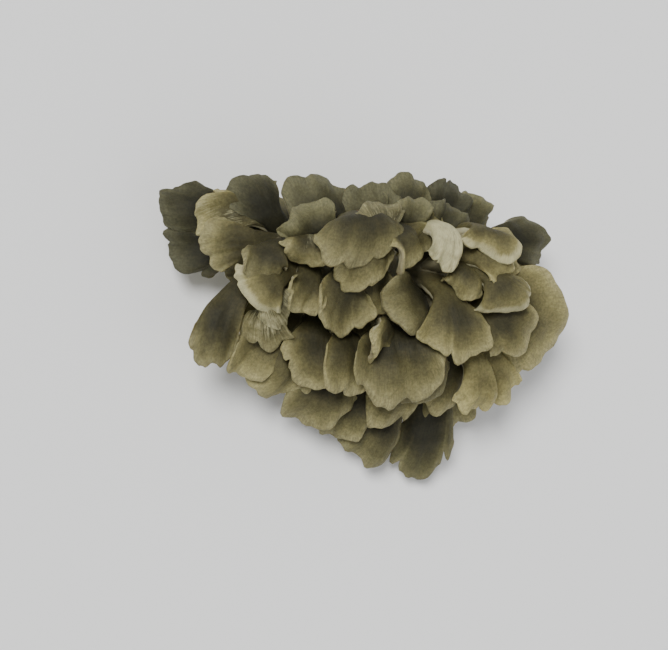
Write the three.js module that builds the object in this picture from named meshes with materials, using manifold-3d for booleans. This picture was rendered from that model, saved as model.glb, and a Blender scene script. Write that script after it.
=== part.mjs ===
// A fresh maitake, or hen-of-the-woods, as cut: one fruiting body that stands on the flat cut through its
// base. A pale base splits into boughs, and each bough into fronds: a stem that widens into a thin,
// waved, fan-shaped cap. Millimetres, +Z up. The origin is the middle of the cut. Most caps arch over
// towards -Y, and the long ones lie to +X.
import * as THREE from "three";
import { mergeVertices } from "three/addons/utils/BufferGeometryUtils.js";
import Module from "manifold-3d";

// The base: a lobed lump, flat where the knife went through.
const CUT_RADIUS_X = 25;
const CUT_RADIUS_Y = 22;
const BASE_HEIGHT = 24;
const BASE_LOBES = 5;
const BASE_LOBE_DEPTH = 0.07;
const BASE_LEAN_Y = 5;
const BASE_SIDES = 20;
const BASE_RINGS = [0, 0.2, 0.5, 0.8, 0.95];

// The boughs, in a ring round the base, with one more in the middle that carries the crown.
const BOUGH_COUNT = 8;
const BOUGH_RADIUS = 17;
const BOUGH_TOP = 19;
const BOUGH_THICKNESS = 9.5;
const CROWN_TOP = [-3, 20, 29];
const CROWN_THICKNESS = 12;
const CROWN_REACH = 16;
const BOUGH_SIDES = 7;
// A frond starts this far below its bough's end.
const ROOT_SINK = 4;

// A frond's section at its root, where the cap begins, and at the cap's edge. All are half sizes.
const ROOT_HALF_WIDTH = 3.4;
const NECK_HALF_WIDTH = 4.2;
const ROOT_HALF_THICKNESS = 3.2;
const NECK_HALF_THICKNESS = 2.5;
const EDGE_HALF_THICKNESS = 0.95;
const PLATE_POWER = 0.55;

// A cap's outline and the waves in its surface.
const CORNER_ROUNDING = 0.44;
const CORNER_POWER = 2.1;
const LOBE_DEPTH = 0.09;
const RUFFLE = 1.5;
const EDGE_DROOP = 1.8;
const EDGE_DROOP_FROM = 0.6;
const CONTROL_SHARE = 0.5;
const CONTROL_REACH = 0.8;
// A cap takes at most this share of its frond's length, and the stem has the rest.
const LONGEST_CAP = 0.8;

// How finely a frond is faceted: across the cap, and from the root to the neck and on to the edge.
const COLUMNS = 6;
const SMALL_COLUMNS = 4;
const SMALL_REACH = 26;
const STEM_STEPS = [-1];
const LONG_STEM = 24;
const LONG_STEM_STEPS = [-1, -0.5];
const CAP_STEPS = [0, 0.42, 0.8, 1];

// The fronds that show from above and in front, placed one by one. tip is the middle of the cap's edge,
// and heading the compass direction, in degrees from +X towards +Y, in which the cap points. reach is the
// cap's length from neck to edge, spread half its opening angle, arch how high the stem bends over, or
// sags where it is below 0, twist its roll and cup how far its sides rise. curl is how strongly the edge
// droops, 1 unless it is given, and below 0 it turns up. corner is how far the outline falls away at its
// sides, CORNER_ROUNDING unless it is given.
const PLACED = [
  // The crown, which arches over from behind.
  { tip: [-12, 8, 55], heading: -86, reach: 33, spread: 47, arch: 6, twist: -4, cup: -4, curl: 1.5, corner: 0.36 },
  { tip: [-11, 1, 48], heading: -92, reach: 24, spread: 54, arch: 9, twist: 2, cup: -1, curl: 0.3 },
  { tip: [9, 9, 50], heading: -55, reach: 23, spread: 42, arch: 8, twist: -34, cup: 2 },
  { tip: [17, 5.5, 54], heading: -100, reach: 24, spread: 22, arch: 8, twist: 6, cup: -4 },
  { tip: [-29, 8, 45], heading: -92, reach: 19, spread: 46, arch: 8, twist: 8, cup: 1 },
  { tip: [-39, 2, 42], heading: -70, reach: 21, spread: 44, arch: 9, twist: -12, cup: 2 },
  { tip: [-29, -5, 42], heading: -110, reach: 17, spread: 42, arch: 8, twist: 4, cup: 7, curl: -1.5 },
  { tip: [-15, -12, 42], heading: -92, reach: 24, spread: 48, arch: 9, twist: -12, cup: 5, curl: -0.8 },
  // The middle, face on from above.
  { tip: [4, -8, 46], heading: -158, reach: 23, spread: 58, arch: -5, twist: 0, cup: 4, curl: 1.2 },
  { tip: [-3, -22, 42], heading: -112, reach: 20, spread: 30, arch: 9, twist: -52, cup: 2 },
  { tip: [24, -25, 46], heading: -94, reach: 29, spread: 41, arch: 11, twist: 3, cup: -2, corner: 0.3 },
  { tip: [4, -35, 37], heading: -93, reach: 34, spread: 38, arch: 12, twist: -4, cup: 4, curl: -0.6, corner: 0.34 },
  { tip: [25, -3, 48], heading: -120, reach: 18, spread: 36, arch: 7, twist: 20, cup: -1 },
  { tip: [-11, -32, 37], heading: -96, reach: 26, spread: 44, arch: 10, twist: -14, cup: 4, curl: -0.5 },
  { tip: [-26, -32, 32], heading: -104, reach: 25, spread: 46, arch: 10, twist: 8, cup: 0 },
  // The right side, where the caps are longest.
  { tip: [43, -8, 51], heading: -76, reach: 22, spread: 50, arch: 8, twist: 0, cup: -5, curl: 1.8 },
  { tip: [62, 2, 26], heading: 2, reach: 25, spread: 46, arch: 9, twist: 10, cup: 1 },
  { tip: [69.5, -15, 33], heading: -20, reach: 34, spread: 62, arch: 12, twist: 6, cup: -3, corner: 0.4 },
  { tip: [58, -29, 26], heading: -44, reach: 28, spread: 50, arch: 12, twist: 4, cup: -2 },
  { tip: [37, -43, 31], heading: -92, reach: 22, spread: 30, arch: 11, twist: 4, cup: -1 },
  { tip: [50, -40, 29], heading: -66, reach: 21, spread: 32, arch: 10, twist: 12, cup: -1 },
  { tip: [31.5, 11, 52], heading: -104, reach: 20, spread: 54, arch: 7, twist: 4, cup: 0, curl: 0.2 },
  { tip: [47, 11, 43], heading: -18, reach: 19, spread: 44, arch: 7, twist: 4, cup: -2 },
  { tip: [42, 6, 50], heading: -34, reach: 18, spread: 40, arch: 6, twist: -12, cup: 1 },
  { tip: [50, 7, 39], heading: -12, reach: 24, spread: 46, arch: 8, twist: 0, cup: 1 },
  { tip: [69, 17, 25], heading: 3, reach: 28, spread: 32, arch: 11, twist: -6, cup: -2 },
  // The left side.
  { tip: [-45, -5, 41], heading: -130, reach: 17, spread: 52, arch: 8, twist: 4, cup: -3 },
  { tip: [-31, -11, 38], heading: -46, reach: 19, spread: 46, arch: 8, twist: 8, cup: -5 },
  { tip: [-57, -23, 26], heading: -98, reach: 31, spread: 21, arch: 12, twist: 14, cup: 3, curl: -0.4 },
  { tip: [-57, 12, 34], heading: 190, reach: 20, spread: 38, arch: 9, twist: -10, cup: -2 },
  { tip: [-38, -21, 32], heading: -70, reach: 22, spread: 44, arch: 9, twist: 18, cup: 1 },
  { tip: [-44, -29, 24], heading: -116, reach: 24, spread: 44, arch: 10, twist: 0, cup: 3, curl: -0.6 },
  { tip: [-67, 32, 17], heading: 160, reach: 26, spread: 38, arch: 9, twist: 10, cup: -2 },
  { tip: [-66, 15, 15], heading: 182, reach: 26, spread: 42, arch: 10, twist: 0, cup: -1 },
  { tip: [-58, 21, 30], heading: 205, reach: 24, spread: 34, arch: 8, twist: 12, cup: 2 },
  { tip: [-44, 35, 31], heading: 122, reach: 20, spread: 44, arch: 7, twist: 10, cup: 1 },
  // The front edge, low down.
  { tip: [-33, -37, 24], heading: -112, reach: 26, spread: 44, arch: 11, twist: -6, cup: -2 },
  { tip: [-17, -47, 20], heading: -100, reach: 27, spread: 44, arch: 12, twist: 6, cup: -2 },
  { tip: [8, -45, 24], heading: -98, reach: 28, spread: 36, arch: 12, twist: 5, cup: -2 },
  { tip: [29, -41, 25], heading: -84, reach: 27, spread: 42, arch: 11, twist: -4, cup: -1 },
  { tip: [22.5, -64, 9], heading: -117, reach: 38, spread: 28, arch: 14, twist: 10, cup: -1 },
  { tip: [1, -56, 11], heading: -126, reach: 30, spread: 36, arch: 12, twist: -6, cup: -1 },
  { tip: [41, -47, 13], heading: -62, reach: 30, spread: 36, arch: 12, twist: 0, cup: -1 },
  // The back, which stands up behind the crown.
  { tip: [-8, 29, 50], heading: 95, reach: 20, spread: 52, arch: 6, twist: 4, cup: -3 },
  { tip: [9, 30, 45], heading: 80, reach: 18, spread: 46, arch: 5, twist: -8, cup: 2 },
  { tip: [25, 27, 43], heading: 58, reach: 19, spread: 46, arch: 5, twist: 6, cup: 2 },
  { tip: [-29, 27, 42], heading: 120, reach: 20, spread: 46, arch: 5, twist: -6, cup: 2 },
  { tip: [-22, 37, 33], heading: 102, reach: 22, spread: 46, arch: 6, twist: 8, cup: 1 },
  { tip: [-3, 36, 34], heading: 94, reach: 21, spread: 46, arch: 6, twist: -6, cup: 1 },
  { tip: [14, 38, 33], heading: 80, reach: 22, spread: 46, arch: 6, twist: 8, cup: 1 },
  { tip: [32, 36, 31], heading: 62, reach: 22, spread: 46, arch: 6, twist: -6, cup: 1 },
  { tip: [46, 28, 28], heading: 36, reach: 23, spread: 46, arch: 7, twist: 6, cup: 0 },
  // A few that close gaps between the others.
  { tip: [-3, -9, 39], heading: -88, reach: 23, spread: 42, arch: 8, twist: 4, cup: 1 },
  { tip: [41, -21, 31], heading: -66, reach: 24, spread: 46, arch: 10, twist: 4, cup: -1 },
  { tip: [-8, -51, 15], heading: -112, reach: 26, spread: 42, arch: 11, twist: 4, cup: -1 },
  { tip: [14, -37, 31], heading: -95, reach: 25, spread: 48, arch: 10, twist: 4, cup: 1 },
  { tip: [-8, -17, 30], heading: -96, reach: 21, spread: 46, arch: 9, twist: -6, cup: 0 },
  { tip: [52, -19, 42], heading: -52, reach: 24, spread: 56, arch: 9, twist: -4, cup: -3, corner: 0.34 },
  { tip: [15, 12, 43], heading: -70, reach: 18, spread: 46, arch: 7, twist: 6, cup: 2 },
];

// The low fronds, in one skirt right round the base, follow a rule.
const SKIRT_COUNT = 11;
const SKIRT_START = -4;
const SKIRT_RADIUS_X = 47;
const SKIRT_RADIUS_Y = 34;
const SKIRT_HEIGHT = 13;
const SKIRT_REACH = 22;
const SKIRT_SPREAD = 44;
const SKIRT_ARCH = 9;

const DEGREE = Math.PI / 180;

// A number from 0 to 1 that is always the same for the same two indices.
function draw(index, kind) {
  const wave = Math.sin(index * 12.9898 + kind * 78.233) * 43758.5453;
  return wave - Math.floor(wave);
}

// A number from -size to size.
function jitter(index, kind, size) {
  return (2 * draw(index, kind) - 1) * size;
}

// A slow bend of all space, which takes the regularity out of the fronds.
const WARP = 1.6;
const WARP_LENGTH = 13;
function warp(p) {
  const [x, y, z] = [p.x / WARP_LENGTH, p.y / WARP_LENGTH, p.z / WARP_LENGTH];
  const share = Math.min(1, Math.max(0, p.z / 15));
  return new THREE.Vector3(
    p.x + WARP * share * Math.sin(y + 1.3 * z + 0.4),
    p.y + WARP * share * Math.sin(1.1 * z + x + 2.1),
    p.z + WARP * share * Math.sin(x - 0.9 * y + 4.0),
  );
}

// The skirt's fronds, as entries like those placed by hand.
function skirt() {
  return Array.from({ length: SKIRT_COUNT }, (_, i) => {
    const angle = SKIRT_START + (360 / SKIRT_COUNT) * (i + jitter(i, 1, 0.18));
    const grow = 1 + jitter(i, 2, 0.12);
    return {
      tip: [
        SKIRT_RADIUS_X * grow * Math.cos(angle * DEGREE),
        SKIRT_RADIUS_Y * grow * Math.sin(angle * DEGREE),
        SKIRT_HEIGHT + jitter(i, 3, 3),
      ],
      heading: angle + jitter(i, 4, 14),
      reach: SKIRT_REACH + jitter(i, 5, 3),
      spread: SKIRT_SPREAD + jitter(i, 6, 8),
      arch: SKIRT_ARCH,
      twist: jitter(i, 7, 16),
      cup: -2,
    };
  });
}

// Where each bough ends. The last one is the crown's.
function boughTops() {
  const ring = Array.from({ length: BOUGH_COUNT }, (_, i) => {
    const angle = (360 / BOUGH_COUNT) * (i + 0.5 + jitter(i, 20, 0.12)) * DEGREE;
    return new THREE.Vector3(
      BOUGH_RADIUS * 1.15 * Math.cos(angle),
      BOUGH_RADIUS * Math.sin(angle) + BASE_LEAN_Y * 0.6,
      BOUGH_TOP + jitter(i, 21, 3),
    );
  });
  return [...ring, new THREE.Vector3(...CROWN_TOP)];
}

// A frond leaves the bough whose end lies nearest under it: the crown's near the middle, and else one of
// the ring.
function rootOf(tip, heading, reach, tops) {
  const neck = new THREE.Vector2(
    tip[0] - reach * Math.cos(heading * DEGREE),
    tip[1] - reach * Math.sin(heading * DEGREE),
  );
  const away = (top) => Math.hypot(top.x - neck.x, top.y - neck.y);
  const crown = tops[tops.length - 1];
  if (away(crown) < CROWN_REACH && tip[2] > crown.z) return crown;
  return tops.slice(0, -1).reduce((best, top) => (away(top) < away(best) ? top : best));
}

// All that a frond's surface needs, worked out from its entry.
function frondShape(entry, index, tops) {
  const tip = new THREE.Vector3(...entry.tip);
  const root = rootOf(entry.tip, entry.heading, entry.reach, tops).clone();
  root.z -= ROOT_SINK;
  const ahead = new THREE.Vector3(Math.cos(entry.heading * DEGREE), Math.sin(entry.heading * DEGREE), 0);
  const level = Math.hypot(tip.x - root.x, tip.y - root.y);
  const back = Math.max(CONTROL_SHARE * level, CONTROL_REACH * entry.reach);
  const control = tip.clone().addScaledVector(ahead, -back);
  control.z += entry.arch;
  const curve = new THREE.QuadraticBezierCurve3(root, control, tip);
  const length = curve.getLength();
  const reach = Math.min(entry.reach, LONGEST_CAP * length);
  return {
    ...entry,
    curve,
    length,
    reach,
    neck: 1 - reach / length,
    across: new THREE.Vector3(-ahead.y, ahead.x, 0),
    half: reach * Math.sin(entry.spread * DEGREE),
    waves: 2.2 + 1.6 * draw(index, 10),
    phase: 6.28 * draw(index, 11),
    lobe: 6.28 * draw(index, 12),
  };
}

// How far the cap's edge lies from the neck at v, which runs from -1 to 1 across the cap, as a share of
// the reach.
function outline(f, v) {
  return (
    1 -
    (f.corner ?? CORNER_ROUNDING) * Math.pow(Math.abs(v), CORNER_POWER) +
    LOBE_DEPTH * (Math.sin(4.1 * v + f.lobe) - Math.sin(f.lobe)) * 0.5 +
    LOBE_DEPTH * 0.35 * Math.sin(9.3 * v + 2 * f.lobe)
  );
}

// A point of the frond's top (side 1) or underside (side -1). along is -1 at the root, 0 at the neck and
// 1 at the edge.
function frondPoint(f, v, along, side) {
  const bow = Math.sin((Math.PI / 2) * v);
  const full = Math.pow(Math.max(0, Math.cos((Math.PI / 2) * v)), PLATE_POWER);
  let t, x, thick, lift;
  if (along <= 0) {
    t = f.neck * (1 + along);
    x = (NECK_HALF_WIDTH + (ROOT_HALF_WIDTH - NECK_HALF_WIDTH) * -along) * bow;
    thick = NECK_HALF_THICKNESS + (ROOT_HALF_THICKNESS - NECK_HALF_THICKNESS) * -along;
    lift = 0;
  } else {
    const angle = v * f.spread * DEGREE;
    const from = f.reach * outline(f, v) * along;
    t = f.neck + (from * Math.cos(angle)) / f.length;
    x = NECK_HALF_WIDTH * bow * (1 - along) + from * Math.sin(angle);
    thick = EDGE_HALF_THICKNESS + (NECK_HALF_THICKNESS - EDGE_HALF_THICKNESS) * Math.pow(1 - along, 1.8);
    const droop = Math.max(0, along - EDGE_DROOP_FROM) / (1 - EDGE_DROOP_FROM);
    lift =
      f.cup * (x / f.half) * (x / f.half) * along +
      RUFFLE * along * along * Math.sin(f.waves * v * 2 + f.phase) -
      (f.curl ?? 1) * EDGE_DROOP * droop * droop;
  }
  const centre = f.curve.getPoint(t);
  const tangent = bezierTangent(f.curve, t);
  const up = new THREE.Vector3().crossVectors(tangent, f.across).normalize();
  const across = new THREE.Vector3().crossVectors(up, tangent).normalize();
  const roll = f.twist * DEGREE * Math.min(1, Math.max(0, t / f.neck));
  const wide = across.clone().multiplyScalar(Math.cos(roll)).addScaledVector(up, Math.sin(roll));
  const high = up.clone().multiplyScalar(Math.cos(roll)).addScaledVector(across, -Math.sin(roll));
  return warp(centre.addScaledVector(wide, x).addScaledVector(high, lift + side * thick * full));
}

function bezierTangent(curve, t) {
  return curve.v1.clone().sub(curve.v0).multiplyScalar(1 - t)
    .addScaledVector(curve.v2.clone().sub(curve.v1), t).normalize();
}

// A closed geometry from rings of points that all have the same count, with a flat cap over both ends.
// The second half of each ring is split the other way, so that a frond's two faces are split alike and
// its thickness holds between.
function loft(rings, endCap) {
  const count = rings[0].length;
  const points = rings.flat();
  const faces = [];
  for (let r = 0; r + 1 < rings.length; r++) {
    for (let i = 0; i < count; i++) {
      const a = r * count + i;
      const b = r * count + ((i + 1) % count);
      if (i < count / 2) faces.push(a, b, b + count, a, b + count, a + count);
      else faces.push(a, b, a + count, b, b + count, a + count);
    }
  }
  for (const [i, j, k] of endCap(count)) {
    const last = (rings.length - 1) * count;
    faces.push(i, k, j, last + i, last + j, last + k);
  }
  const geometry = new THREE.BufferGeometry();
  const coordinates = points.flatMap((p) => p.toArray());
  geometry.setAttribute("position", new THREE.Float32BufferAttribute(coordinates, 3));
  geometry.setIndex(faces);
  return geometry;
}

// An end cap as triangles that share the ring's first point.
function fanCap(count) {
  return Array.from({ length: count - 2 }, (_, i) => [0, i + 1, i + 2]);
}

// An end cap for a flat ring: a strip between its two long sides.
function stripCap(count) {
  const half = count / 2;
  const faces = [];
  for (let i = 0; i < half; i++) {
    const [a, b] = [i, i + 1];
    const [c, d] = [(count - i) % count, count - i - 1];
    if (a !== c) faces.push([a, b, c]);
    if (b !== d) faces.push([c, b, d]);
  }
  return faces;
}

function frondGeometry(f) {
  const columns = f.reach < SMALL_REACH ? SMALL_COLUMNS : COLUMNS;
  const stemSteps = f.length * f.neck > LONG_STEM ? LONG_STEM_STEPS : STEM_STEPS;
  const rings = [...stemSteps, ...CAP_STEPS].map((along) => {
    const top = Array.from({ length: columns + 1 },
      (_, i) => frondPoint(f, 1 - (2 * i) / columns, along, 1));
    const under = Array.from({ length: columns - 1 },
      (_, i) => frondPoint(f, (2 * (i + 1)) / columns - 1, along, -1));
    return [...top, ...under];
  });
  return loft(rings, stripCap);
}

// A bough is a tapered round branch from inside the base to its top.
function boughGeometry(top, thickness) {
  const foot = new THREE.Vector3(top.x * 0.45, top.y * 0.45, thickness + 2);
  const middle = new THREE.Vector3(top.x * 0.85, top.y * 0.85, top.z * 0.5);
  const curve = new THREE.QuadraticBezierCurve3(foot, middle, top);
  const across = new THREE.Vector3(-top.y, top.x, 0).normalize();
  const rings = [0, 0.35, 0.7, 0.92, 1].map((t) => {
    const tangent = bezierTangent(curve, t);
    const up = new THREE.Vector3().crossVectors(tangent, across).normalize();
    const side = new THREE.Vector3().crossVectors(up, tangent).normalize();
    const radius = thickness * (t < 0.95 ? 1 - 0.25 * t : 0.5);
    return Array.from({ length: BOUGH_SIDES }, (_, i) => {
      const angle = (2 * Math.PI * i) / BOUGH_SIDES;
      const p = curve.getPoint(t);
      p.addScaledVector(side, radius * Math.cos(angle)).addScaledVector(up, radius * Math.sin(angle));
      return warp(p);
    });
  });
  return loft(rings, fanCap);
}

function baseGeometry() {
  const rings = BASE_RINGS.map((share) => {
    const swell = Math.sqrt(1 - share * share) * (1 + 0.25 * Math.sin(Math.PI * share));
    return Array.from({ length: BASE_SIDES }, (_, i) => {
      const angle = (2 * Math.PI * i) / BASE_SIDES;
      const lobed = 1 + BASE_LOBE_DEPTH * Math.sin(BASE_LOBES * angle + 1.2) + 0.04 * Math.sin(3 * angle);
      return new THREE.Vector3(
        CUT_RADIUS_X * swell * lobed * Math.cos(angle),
        CUT_RADIUS_Y * swell * lobed * Math.sin(angle) + BASE_LEAN_Y * share,
        BASE_HEIGHT * share,
      );
    });
  });
  return loft(rings, fanCap);
}

const wasm = await Module();
wasm.setup();

function solid(geometry) {
  const bare = mergeVertices(geometry, 1e-4);
  const made = new wasm.Manifold(
    new wasm.Mesh({
      numProp: 3,
      vertProperties: bare.attributes.position.array,
      triVerts: new Uint32Array(bare.index.array),
    }),
  );
  if (made.volume() < 0) throw new Error("a piece is inside out");
  return made;
}

// Everything fused in one body. The pockets that fusing seals come apart as bodies of their own, and are
// dropped.
function joined(geometries) {
  const fused = geometries.map(solid).reduce((all, next) => all.add(next));
  const largest = fused.decompose().reduce((most, next) => (next.volume() > most.volume() ? next : most));
  const mesh = largest.getMesh();
  const geometry = new THREE.BufferGeometry();
  geometry.setAttribute("position", new THREE.BufferAttribute(mesh.vertProperties, 3));
  geometry.setIndex(new THREE.BufferAttribute(mesh.triVerts, 1));
  return geometry;
}

const flesh = new THREE.MeshStandardMaterial({ color: 0x8d8158, roughness: 0.72, metalness: 0 });
const tops = boughTops();
const fronds = [...PLACED, ...skirt()].map((entry, index) => frondShape(entry, index, tops));

const cluster = new THREE.Mesh(
  joined([
    baseGeometry(),
    ...tops.map((top, i) => boughGeometry(top, i === BOUGH_COUNT ? CROWN_THICKNESS : BOUGH_THICKNESS)),
    ...fronds.map(frondGeometry),
  ]),
  flesh,
);
cluster.name = "maitake_cluster";

const maitake = new THREE.Group();
maitake.add(cluster);

export default maitake;
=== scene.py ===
"""A fresh maitake, or hen-of-the-woods, on a pale floor: fine versions of its fronds, boughs and base."""

import math

import bpy
import numpy as np
from mathutils import Matrix, Vector


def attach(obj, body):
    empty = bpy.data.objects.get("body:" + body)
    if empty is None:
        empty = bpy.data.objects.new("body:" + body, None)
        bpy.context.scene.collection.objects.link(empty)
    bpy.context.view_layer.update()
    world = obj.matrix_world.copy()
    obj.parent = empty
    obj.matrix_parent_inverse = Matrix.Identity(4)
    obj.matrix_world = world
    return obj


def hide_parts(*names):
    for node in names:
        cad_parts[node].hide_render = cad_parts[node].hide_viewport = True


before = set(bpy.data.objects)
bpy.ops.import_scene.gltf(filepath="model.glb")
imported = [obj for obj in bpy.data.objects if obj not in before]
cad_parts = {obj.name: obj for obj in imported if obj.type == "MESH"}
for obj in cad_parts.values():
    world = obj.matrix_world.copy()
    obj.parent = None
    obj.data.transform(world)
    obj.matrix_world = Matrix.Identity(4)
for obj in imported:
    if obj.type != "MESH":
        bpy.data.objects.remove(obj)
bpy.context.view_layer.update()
NODE = "maitake_cluster"
BODY = "root"
MM = 0.001

# All sizes are in millimetres, and all angles in degrees, unless a comment says otherwise.

# The base: a lobed lump, flat where the knife went through.
CUT_RADIUS_X = 25
CUT_RADIUS_Y = 22
BASE_HEIGHT = 24
BASE_LOBES = 5
BASE_LOBE_DEPTH = 0.07
BASE_LEAN_Y = 5

# The boughs, in a ring round the base, with one more in the middle that carries the crown.
BOUGH_COUNT = 8
BOUGH_RADIUS = 17
BOUGH_TOP = 19
BOUGH_THICKNESS = 9.5
CROWN_TOP = (-3, 20, 29)
CROWN_THICKNESS = 12
CROWN_REACH = 16
# A frond starts this far below its bough's end.
ROOT_SINK = 4

# A frond's section at its root, where the cap begins, and at the cap's edge. All are half sizes.
ROOT_HALF_WIDTH = 3.4
NECK_HALF_WIDTH = 4.2
ROOT_HALF_THICKNESS = 3.2
NECK_HALF_THICKNESS = 2.5
EDGE_HALF_THICKNESS = 0.95
PLATE_POWER = 0.55

# A cap's outline and the waves in its surface.
CORNER_ROUNDING = 0.44
CORNER_POWER = 2.1
LOBE_DEPTH = 0.09
RUFFLE = 1.5
EDGE_DROOP = 1.8
EDGE_DROOP_FROM = 0.6
CONTROL_SHARE = 0.5
CONTROL_REACH = 0.8
LONGEST_CAP = 0.8

# The slow bend of all space that takes the regularity out of the fronds. It grows up to WARP_FULL_AT.
WARP = 1.6
WARP_LENGTH = 13
WARP_FULL_AT = 15

# What only this fine version has. Along a cap's edge: nicks, splits, small waves and a bead.
NICK_DEPTH = 0.012
SPLIT_CHANCE = 0.55
SPLIT_DEPTH = 0.09
SPLIT_WIDTH = 0.05
FINE_RUFFLE = 0.7
MARGIN_BEAD = 0.25
# Over a cap: slow waves, low relief and fine ridges that run out from the neck.
WAVINESS = 1.2
WAVE_SIZE = 6
RELIEF = 0.22
RELIEF_SIZE = 2.6
RIDGES = 0.26
RIDGE_WIDTH = 1.5
# The base, boughs and stems are fused into one skin of this fineness, and the stems flare where they
# join it.
TRUNK_VOXEL = 0.7
TRUNK_SMOOTHINGS = 8
ROOT_FLARE = 2.4
# That skin's fibres, lumps and wide folds: the height and size of each. The folds die out up to FOLDS_TO.
TRUNK_FIBRES = (0.35, 1.8)
TRUNK_LUMPS = (0.5, 5)
TRUNK_FOLDS = (1.2, 8)
FOLDS_TO = 22
# What the relief leaves less than this above the cut is pressed flat on it.
FLAT_BELOW = 0.6

# How finely a frond is made: columns across the cap, and rings down the stem, over the cap and round its
# edge.
COLUMNS = 44
STEM_RINGS = 8
CAP_RINGS = 30
EDGE_RINGS = 4
# How finely the fused skin's parts are made: the sides and rings of a stem, a bough and the base.
STEM_SIDES, STEM_TUBE_RINGS = 24, 10
BOUGH_SIDES, BOUGH_RINGS = 28, 16
BASE_SIDES, BASE_RINGS = 72, 20

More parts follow.
